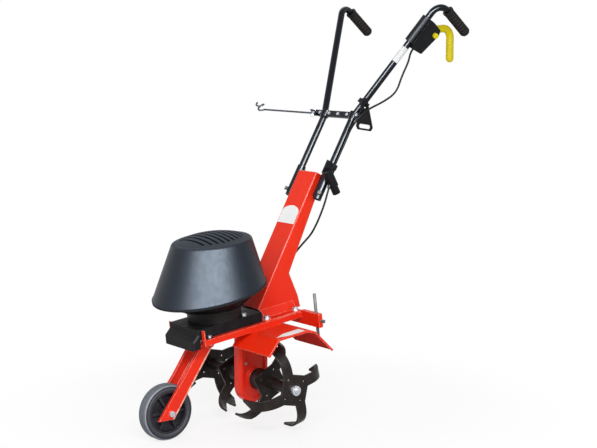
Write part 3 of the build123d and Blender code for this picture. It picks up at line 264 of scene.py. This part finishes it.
def plastic(name, colour, dull, rough, grain, depth, edge=0.0008, **settings):
    """Moulded plastic or rubber with an even fine grain."""
    look = Look(name, **settings)
    drift = look.patches(scale=11.0, detail=4.0, low=0.3, high=0.7)
    handled = look.patches(scale=60.0, detail=5.0, low=0.4, high=0.75,
                           to_low=rough * 0.85, to_high=rough * 1.2)
    grained = look.noise(scale=grain, detail=3.0)
    return look.set(Base_Color=look.mix(drift, colour, dull), Roughness=handled,
                    Normal=look.relief(grained, depth, look.rounded(edge)))


def metal(name, colour, dull, rough, streak=(1, 1, 1), grain=900.0, depth=2e-5, edge=0.0005):
    """Bare or plated metal with fine marks, drawn out along an axis if a streak is given."""
    look = Look(name, Metallic=1.0)
    mark = look.noise(scale=grain, detail=4.0, place=look.stretched(streak))
    cloud = look.patches(scale=45.0, detail=5.0, low=0.3, high=0.7)
    return look.set(Base_Color=look.mix(cloud, colour, dull),
                    Roughness=look.span(mark, low=0.25, high=0.75, to_low=rough * 0.75, to_high=rough * 1.3),
                    Normal=look.relief(mark, depth, look.rounded(edge)))


def banded(name, colour, dark, metallic, rough, direction, pitch, depth):
    """Stack of thin layers or turns, banded along a direction."""
    look = Look(name, Metallic=metallic)
    wave = look.node("TexWave", Vector=look.place, Scale=1.0 / pitch, Distortion=0.6, Detail=1.0)
    wave.bands_direction = direction
    height = wave.outputs["Fac"]
    speck = look.patches(scale=220.0, detail=4.0, low=0.3, high=0.7, to_high=0.35)
    hollow = look.span(height, low=0.9, high=0.1)
    return look.set(Base_Color=look.mix(look.math("MAXIMUM", hollow, speck), colour, dark),
                    Roughness=look.span(height, low=0.0, high=1.0, to_low=rough * 1.3, to_high=rough),
                    Normal=look.relief(height, depth))


def tyre(name, side, lit_tread, shoulder_highlight, groove_shade, rough):
    """Solid rubber tyre: tread painted lighter as where light falls and mottled like dust, a painted
    highlight round the shoulder, a painted shade ring for a groove in the side wall.
    """
    look = Look(name, Specular_IOR_Level=0.2)
    from_axle = look.vector("SUBTRACT", look.place, at(WHEEL_CENTRE))
    radius = look.vector("LENGTH", look.vector("MULTIPLY", from_axle, (0, 1, 1)))
    dust = look.patches(scale=24.0, detail=5.0, low=0.25, high=0.75, to_low=0.6)
    # Tread painted lighter, as where light falls, mottled like dust.
    lit_dusty_tread = look.math("MULTIPLY", look.span(radius, low=0.0745, high=0.0775), dust)
    # Painted highlight round the shoulder.
    rub_and_sheen = look.band(radius, start=0.0745, full=0.0755, fading=0.0765, gone=0.0778, share=0.7)
    # Painted shade ring standing for a groove in the side wall.
    groove_shade_mask = look.band(radius, start=0.0690, full=0.0700, fading=0.0730, gone=0.0740, share=0.9)
    tone = look.mix(groove_shade_mask, look.mix(rub_and_sheen, look.mix(lit_dusty_tread, side, lit_tread), shoulder_highlight), groove_shade)
    grained = look.noise(scale=700.0, detail=3.0)
    return look.set(Base_Color=tone,
                    Roughness=look.span(dust, low=0.6, high=1.0, to_low=rough * 0.9, to_high=rough * 1.1),
                    Normal=look.relief(grained, depth=4e-5, normal=look.rounded(0.001)))


def scaled_steel(name, colour, dark, bright, rough):
    """Dark hot-worked steel: patchy scale, hammered surface, edges lighter as rubbed bright and with a
    painted highlight, specks rubbed bright.
    """
    look = Look(name, Specular_IOR_Level=0.14)
    normal = look.rounded(0.0015)
    patch = look.patches(scale=46.0, detail=6.0, low=0.38, high=0.62)
    rub_and_sheen = look.patches(scale=70.0, detail=5.0, low=0.35, high=0.6, to_high=0.4)
    speck = look.patches(scale=420.0, detail=2.0, low=0.70, high=0.76, to_high=0.5)
    # Edges lighter in patches, from rubbing and a painted highlight; specks rubbed bright.
    rub_sheen_and_specks = look.math("MAXIMUM", look.math("MULTIPLY", look.rim(normal), rub_and_sheen), speck)
    hammered = look.noise(scale=150.0, detail=4.0)
    return look.set(Base_Color=look.mix(rub_sheen_and_specks, look.mix(patch, colour, dark), bright),
                    Roughness=look.span(patch, low=0.0, high=1.0, to_low=rough * 0.75, to_high=rough * 1.4),
                    Normal=look.relief(hammered, depth=1.2e-4, normal=normal))


# Hood rim's centre and the direction square to its plane
RIM_CENTRE = on_deck(0, -136.0, 114.5)
RIM_TILT = DECK_PITCH + math.radians(5.5)
RIM_UP = Vector((0, -math.sin(RIM_TILT), math.cos(RIM_TILT)))
LIP_BLUR = 0.0004


def hood_moulding(name, colour, dull, lip, rough):
    """Grained hood plastic, its crown duller, its rim lip dark and dull."""
    look = Look(name, Specular_IOR_Level=0.22, Specular_Tint=(0.72, 0.85, 1.0, 1.0))
    tone = look.mix(look.patches(scale=11.0, detail=4.0, low=0.3, high=0.7), colour, dull)
    level = at(RIM_CENTRE).dot(RIM_UP)
    below = look.span(look.along(RIM_UP), level + LIP_BLUR, level - LIP_BLUR)
    crown = look.span(look.facing(RIM_UP), low=0.6, high=0.9, to_high=0.75)
    even = look.patches(scale=60.0, detail=5.0, low=0.4, high=0.75,
                        to_low=rough * 0.92, to_high=rough * 1.08)
    grained = look.noise(scale=1500.0, detail=3.0)
    return look.set(Base_Color=look.mix(below, tone, lip),
                    Roughness=look.math("MAXIMUM", even, look.math("MAXIMUM", crown, below)),
                    Normal=look.relief(grained, depth=1.0e-5, normal=look.rounded(0.002)))


# Fork arm: a channel from the pivot to the axle, its rear fold at a distance from the line between them,
# where a highlight strip is painted
FORK_PIVOT = Vector((0, -172.0, 262.0))
REAR_FOLD = 0.0120
FOLD_BLUR = 0.001
arm_along = (WHEEL_CENTRE - FORK_PIVOT).normalized()
ARM_REAR = Vector((0, -arm_along.z, arm_along.y))


def rear_fold_highlight(look):
    """Mask of the painted highlight strip along the rear fold on the outer faces of the fork arms."""
    level = at(FORK_PIVOT).dot(ARM_REAR) + REAR_FOLD
    strip = look.span(look.along(ARM_REAR), level, level + FOLD_BLUR)
    outward = look.math("MULTIPLY", look.facing(ACROSS), look.along(ACROSS))
    return look.math("MULTIPLY", strip, look.span(outward, low=0.02, high=0.03))


RED = linear(231, 44, 10)
RED_DULL = linear(226, 39, 10)
# Pale edge colour: wear on castings, wear and a painted highlight on the red sheets.
RED_WORN_AND_SHEEN = linear(252, 192, 172)
BLACK_WORN = linear(80, 84, 96)
COOL_TINT = (0.84, 0.92, 1.0, 1.0)


def red_sheet(name, edge=0.0026, wear_and_sheen=0.75, shine=0.17, **extras):
    """Red paint on sheet metal, its edges pale with wear and, more strongly, with a painted highlight."""
    return paint(name, RED, RED_DULL, RED_WORN_AND_SHEEN, rough=0.36, grain=420.0, depth=4e-6, edge=edge, wear_and_sheen=wear_and_sheen,
                 Specular_IOR_Level=shine, **extras)


looks = {
    "red_paint": red_sheet("red_paint"),
    "red_casting": paint("red_casting", linear(238, 48, 18), linear(226, 40, 18), RED_WORN_AND_SHEEN,
                         rough=0.34, grain=240.0, depth=2e-5, edge=0.002, wear_and_sheen=0.15, Specular_IOR_Level=0.22),
    "black_paint": paint("black_paint", linear(6, 9, 18), linear(4, 6, 12), BLACK_WORN,
                         rough=0.21, grain=520.0, depth=2e-6, wear_and_sheen=0.2, Specular_IOR_Level=0.19,
                         Specular_Tint=COOL_TINT),
    # Tines: edges rubbed bright and painted with a highlight.
    "tine_steel": scaled_steel("tine_steel", linear(40, 32, 29), linear(20, 15, 14), linear(140, 138, 140),
                               rough=0.34),
    "hood_plastic": hood_moulding("hood_plastic", linear(15, 20, 30), linear(12, 16, 25), linear(5, 5, 7),
                                  rough=0.46),
    "black_plastic": plastic("black_plastic", linear(19, 18, 20), linear(13, 12, 14),
                             rough=0.40, grain=1300.0, depth=1.2e-5, Specular_IOR_Level=0.12,
                             Specular_Tint=COOL_TINT),
    "black_casting": plastic("black_casting", linear(24, 19, 19), linear(14, 12, 12),
                             rough=0.46, grain=420.0, depth=6e-5, edge=0.0015, Specular_IOR_Level=0.15),
    "grip_rubber": plastic("grip_rubber", linear(22, 15, 13), linear(16, 11, 10),
                           rough=0.68, grain=900.0, depth=4e-5, Specular_IOR_Level=0.1),
    # Tyre: painted light on the tread, painted highlight on the shoulder, painted shade in the groove.
    "tyre_rubber": tyre("tyre_rubber", side=linear(55, 57, 66), lit_tread=linear(101, 106, 113),
                        shoulder_highlight=linear(158, 164, 176), groove_shade=linear(30, 31, 38), rough=0.66),
    "yellow_plastic": plastic("yellow_plastic", linear(204, 188, 22), linear(196, 178, 18),
                              rough=0.45, grain=1100.0, depth=3e-6, edge=0.0003, Specular_IOR_Level=0.06),
    "lead_sheath": plastic("lead_sheath", linear(26, 25, 27), linear(19, 19, 21),
                           rough=0.50, grain=1600.0, depth=6e-6, Specular_IOR_Level=0.07),
    "belt_rubber": banded("belt_rubber", linear(44, 43, 43), linear(24, 24, 24), metallic=0.0, rough=0.75,
                          direction="Y", pitch=0.02, depth=4e-4),
    "lamination": banded("lamination", linear(150, 152, 158), linear(70, 68, 68), metallic=1.0, rough=0.45,
                         direction="Z", pitch=0.012, depth=1e-4),
    "copper": banded("copper", linear(196, 112, 62), linear(110, 48, 24), metallic=1.0, rough=0.30,
                     direction="DIAGONAL", pitch=0.014, depth=3e-4),
    "cast_aluminium": metal("cast_aluminium", linear(178, 180, 184), linear(140, 142, 146), rough=0.48,
                            grain=260.0, depth=6e-5),
    "bronze": metal("bronze", linear(196, 160, 92), linear(160, 122, 62), rough=0.32, streak=(1, 6, 6)),
    "zinc_steel": metal("zinc_steel", linear(176, 178, 184), linear(144, 146, 153), rough=0.45),
}
# Mudguard paint: undersides painted darker as shade.
guard_paint_shaded_under = red_sheet("guard_paint_shaded_under", shine=0.12, under=linear(182, 34, 24))
# Column paint: wide pale edges, a painted highlight along the column's folds.
fold_highlight_paint = red_sheet("fold_highlight_paint", edge=0.0042, wear_and_sheen=1.0)
# Fork arm paint: pale edges and the rear-fold strip, a painted highlight.
arm_paint_with_highlights = red_sheet("arm_paint_with_highlights", edge=0.0014, wear_and_sheen=1.0, fold=rear_fold_highlight)
dull_steel = metal("dull_steel", linear(86, 86, 84), linear(66, 66, 66), rough=0.7)
own_looks = {
    "motor_deck": paint("deck_paint", linear(17, 16, 19), linear(11, 11, 14), BLACK_WORN,
                        rough=0.52, grain=520.0, depth=4e-6, edge=0.002, wear_and_sheen=0.3, Specular_IOR_Level=0.1),
    "wheel_rim": plastic("rim_plastic", linear(38, 36, 44), linear(30, 29, 36),
                         rough=0.42, grain=900.0, depth=1.5e-5, Specular_IOR_Level=0.2),
    "column": fold_highlight_paint,
    "left_fork_arm": arm_paint_with_highlights,
    "right_fork_arm": arm_paint_with_highlights,
    "left_mudguard": guard_paint_shaded_under,
    "right_mudguard": guard_paint_shaded_under,
    "clamp_screws": dull_steel,
    "cable_guide": metal("bare_wire", linear(72, 75, 82), linear(56, 58, 64), rough=0.55),
}
slot_of = {row["node"]: row["material_slot"] for row in frame["record"]["subparts"]}


def wear_look(piece, material):
    piece.data.materials.clear()
    piece.data.materials.append(material)


for name, piece in frame["nodes"].items():
    wear_look(piece, own_looks.get(name) or looks[slot_of[name]])


# Leads: smooth lines near the points of their routes, from housing to housing
SWITCH_ROUTE = [(167.0, 472.5, 1082.1), (161.8, 465.8, 1070.9), (157.0, 463.0, 1043.0),
                (147.0, 446.0, 1001.0), (139.0, 433.0, 954.0), (127.0, 397.0, 928.0), (114.0, 346.0, 906.0),
                (113.5, 322.0, 892.0), (109.0, 303.0, 873.0), (88.0, 299.0, 848.0), (80.8, 288.0, 815.0),
                (80.8, 261.8, 771.2), (80.8, 243.8, 740.0)]
MOTOR_ROUTE = [(92.5, 216.5, 686.2), (92.5, 209.3, 668.6), (90.0, 202.0, 640.0), (84.0, 192.0, 607.0),
               (74.0, 184.0, 576.0), (60.0, 174.0, 543.0), (46.0, 159.0, 520.0), (32.0, 142.0, 494.0),
               (18.0, 103.0, 443.0), (0.0, 39.2, 368.2), (0.0, 43.6, 332.5)]
LEAD_RADIUS = 0.003


def lead(name, route, node):
    """Round lead in place of its CAD node."""
    curve = bpy.data.curves.new(name, "CURVE")
    curve.dimensions = "3D"
    spline = curve.splines.new("NURBS")
    spline.points.add(len(route) - 1)
    for point, place in zip(spline.points, route):
        point.co = (*at(place), 1.0)
    spline.order_u = 3
    spline.use_endpoint_u = True
    spline.resolution_u = 12
    curve.bevel_depth = LEAD_RADIUS
    curve.bevel_resolution = 3
    curve.use_fill_caps = True
    piece = linked(name, curve)
    wear_look(piece, looks["lead_sheath"])
    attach(piece, "chassis")
    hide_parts(node)


lead("switch_lead_line", SWITCH_ROUTE, "switch_lead")
lead("motor_lead_line", MOTOR_ROUTE, "motor_lead")


def solid(name, mesh, material):
    """Piece of a closed mesh, fixed to the machine."""
    bmesh.ops.recalc_face_normals(mesh, faces=mesh.faces)
    data = bpy.data.meshes.new(name)
    mesh.to_mesh(data)
    mesh.free()
    piece = linked(name, data)
    wear_look(piece, material)
    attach(piece, "chassis")
    return piece


# Stay rods of the mudguards, ending on the rear slope of the sheet
STAY_X = 152.0
STAY_V = 120.6
STAY_TOP = 62.0
STAY_RADIUS = 4.5
STAY_CHAMFER = 1.0
STAY_STEPS = 32
SLOPE_START = Vector((66.0, -28.0))
SLOPE_END = Vector((123.0, -97.0))
SHEET_HALF = 1.25
slope = SLOPE_END - SLOPE_START
slope_rise = slope.y / slope.x
sheet_lift = SHEET_HALF * math.hypot(1, slope_rise)


def rod(mesh, x):
    """Round rod square to the deck, its top chamfered and its foot cut to the slope."""
    inner = STAY_RADIUS - STAY_CHAMFER
    foot_ring, shoulder_ring, top_ring = [], [], []
    for step in range(STAY_STEPS):
        turn = 2 * math.pi * step / STAY_STEPS
        dx = math.cos(turn)
        dv = math.sin(turn)
        v = STAY_V + STAY_RADIUS * dv
        foot = SLOPE_START.y + slope_rise * (v - SLOPE_START.x) + sheet_lift
        foot_ring.append(on_deck(x + STAY_RADIUS * dx, v, foot))
        shoulder_ring.append(on_deck(x + STAY_RADIUS * dx, v, STAY_TOP - STAY_CHAMFER))
        top_ring.append(on_deck(x + inner * dx, STAY_V + inner * dv, STAY_TOP))
    rings = [[mesh.verts.new(at(p)) for p in ring] for ring in (foot_ring, shoulder_ring, top_ring)]
    mesh.faces.new(list(reversed(rings[0])))
    mesh.faces.new(rings[2])
    for low, high in zip(rings, rings[1:]):
        for k in range(STAY_STEPS):
            j = (k + 1) % STAY_STEPS
            side = mesh.faces.new((low[k], low[j], high[j], high[k]))
            side.smooth = high is rings[1]


stay_mesh = bmesh.new()
for x in (STAY_X, -STAY_X):
    rod(stay_mesh, x)
stays = solid("stay_rods", stay_mesh, dull_steel)
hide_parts("mudguard_stays")


# Decals: blank pale films with a thickness of their own, just clear of the surface
FILM = 0.3
FILM_GAP = 0.06


def film_look(name, colour, dull):
    """Matt film with a very fine grain."""
    return plastic(name, colour, dull, rough=0.60, grain=1800.0, depth=1e-5, edge=0.0004,
                   Specular_IOR_Level=0.03)


decal_look = film_look("decal_film", linear(238, 239, 238), linear(230, 231, 231))
sticker_look = film_look("sticker_film", linear(218, 220, 220), linear(209, 211, 212))


def film(name, outline, lift):
    """Thin plate over an outline of machine-frame points, raised along lift."""
    mesh = bmesh.new()
    low = [mesh.verts.new(at(p + lift * FILM_GAP)) for p in outline]
    high = [mesh.verts.new(at(p + lift * FILM)) for p in outline]
    mesh.faces.new(list(reversed(low)))
    mesh.faces.new(high)
    for k in range(len(outline)):
        j = (k + 1) % len(outline)
        mesh.faces.new((low[k], low[j], high[j], high[k]))
    solid(name, mesh, decal_look)


COLUMN_FOOT = Vector((0, -7.0, 338.2))
COLUMN_TOP = Vector((0, 207.0, 722.5))
LABEL_HALF = 38.5
LABEL_LOW = 270.0
LABEL_SIDE = 306.0
LABEL_TOP = 327.0
LABEL_STEPS = 24
column_up = (COLUMN_TOP - COLUMN_FOOT).normalized()
column_out = Vector((0, -column_up.z, column_up.y))
label = [COLUMN_FOOT + column_up * LABEL_LOW + ACROSS * x for x in (-LABEL_HALF, LABEL_HALF)]
for step in range(LABEL_STEPS + 1):
    turn = math.pi * step / LABEL_STEPS
    rise = LABEL_SIDE + (LABEL_TOP - LABEL_SIDE) * math.sin(turn)
    label.append(COLUMN_FOOT + column_up * rise + ACROSS * (LABEL_HALF * math.cos(turn)))
film("column_label", label, column_out)

GUARD_TOP = -17.0
STRIP_OUTLINE = [(177.0, -22.0), (192.0, -56.0), (207.0, -22.0), (207.0, 33.0), (177.0, 33.0)]
film("mudguard_strip", [on_deck(x, v, GUARD_TOP) for x, v in STRIP_OUTLINE], ABOVE)

HANDLE_BEND = Vector((66.0, 324.0, 879.0))
HANDLE_TOP = Vector((222.0, 526.0, 1219.0))
TUBE_RADIUS = 10.0


def wrap(name, low, high, faces, half_turn, steps):
    """Film round the left upper tube between two distances from its bend, centred on a direction."""
    along = (HANDLE_TOP - HANDLE_BEND).normalized()
    front = (faces - along * faces.dot(along)).normalized()
    side = along.cross(front)
    corners = ((low, FILM_GAP), (low, FILM), (high, FILM), (high, FILM_GAP))
    mesh = bmesh.new()
    rows = []
    for step in range(steps + 1):
        turn = half_turn * (2 * step / steps - 1)
        out = front * math.cos(turn) + side * math.sin(turn)
        points = [HANDLE_BEND + along * s + out * (TUBE_RADIUS + lift) for s, lift in corners]
        rows.append([mesh.verts.new(at(p)) for p in points])
    for near, far in zip(rows, rows[1:]):
        for j in range(len(corners)):
            i = (j + 1) % len(corners)
            mesh.faces.new((near[j], near[i], far[i], far[j]))
    mesh.faces.new(rows[0])
    mesh.faces.new(list(reversed(rows[-1])))
    solid(name, mesh, sticker_look)


wrap("tube_sticker", low=206.0, high=258.0, faces=Vector(CAMERA_AT), half_turn=math.radians(105), steps=28)


# Light: a key beside the camera, a fill from the front, a softbox seen in reflections only, a back light
LAMP_AIM = Vector((0, 0, 0.55))


def lamp(name, azimuth, elevation, distance, width, height, level):
    """Area lamp that lights a facing surface to about a share of its colour."""
    light = bpy.data.lights.new(name, "AREA")
    light.shape = "RECTANGLE"
    light.size = width
    light.size_y = height
    light.energy = math.pi ** 2 * distance ** 2 * level
    made = linked(name, light)
    turn = math.radians(azimuth)
    rise = math.radians(elevation)
    back = Vector((math.sin(turn) * math.cos(rise), -math.cos(turn) * math.cos(rise), math.sin(rise)))
    made.location = LAMP_AIM + back * distance
    made.rotation_euler = (-back).to_track_quat("-Z", "Y").to_euler()
    return made


lamp("key", azimuth=55.0, elevation=28.0, distance=3.4, width=2.2, height=0.55, level=0.68)
lamp("fill", azimuth=-10.0, elevation=30.0, distance=3.6, width=2.4, height=2.4, level=0.12)
softbox = lamp("softbox", azimuth=50.0, elevation=28.0, distance=3.5, width=6.0, height=0.7, level=8.0)
softbox.visible_diffuse = False
lamp("back", azimuth=-120.0, elevation=50.0, distance=3.8, width=2.2, height=2.2, level=0.22)

# Background: white where it is seen, and a plain level of light on the object
AMBIENT = 0.45
world = bpy.data.worlds.new("studio")
world.use_nodes = True
bpy.context.scene.world = world
sky = Nodes(world.node_tree)
plain = world.node_tree.nodes["Background"]
plain.inputs["Color"].default_value = WHITE
plain.inputs["Strength"].default_value = AMBIENT
bright = sky.node("Background", Color=WHITE, Strength=1.0)
sky.either(sky.seen_directly(), plain, bright, "World Output")

# Floor: pale, fading to white away from the object and keeping a share of its shadow near it
FLOOR_HALF = 9.0
FLOOR_SHADE = 0.20
SHADE_NEAR = 0.40
SHADE_FAR = 1.0
FLOOR_CORNERS = ((-1, -1), (1, -1), (1, 1), (-1, 1))
floor_mesh = bpy.data.meshes.new("floor")
floor_mesh.from_pydata([(x * FLOOR_HALF, y * FLOOR_HALF, 0) for x, y in FLOOR_CORNERS], [], [(0, 1, 2, 3)])
floor = linked("floor", floor_mesh)
ground = Look("pale_floor", Base_Color=(0.93, 0.93, 0.93, 1), Roughness=0.9, Specular_IOR_Level=0.0)
reach = ground.vector("LENGTH", ground.place)
fade = ground.span(reach, SHADE_NEAR, SHADE_FAR, to_low=1.0 - FLOOR_SHADE)
fade.node.interpolation_type = "SMOOTHSTEP"
share = ground.math("MULTIPLY", ground.seen_directly(), fade)
ground.either(share, ground.shader, ground.node("Emission", Color=WHITE), "Material Output")
wear_look(floor, ground.material)

bpy.context.scene.view_settings.view_transform = "Standard"
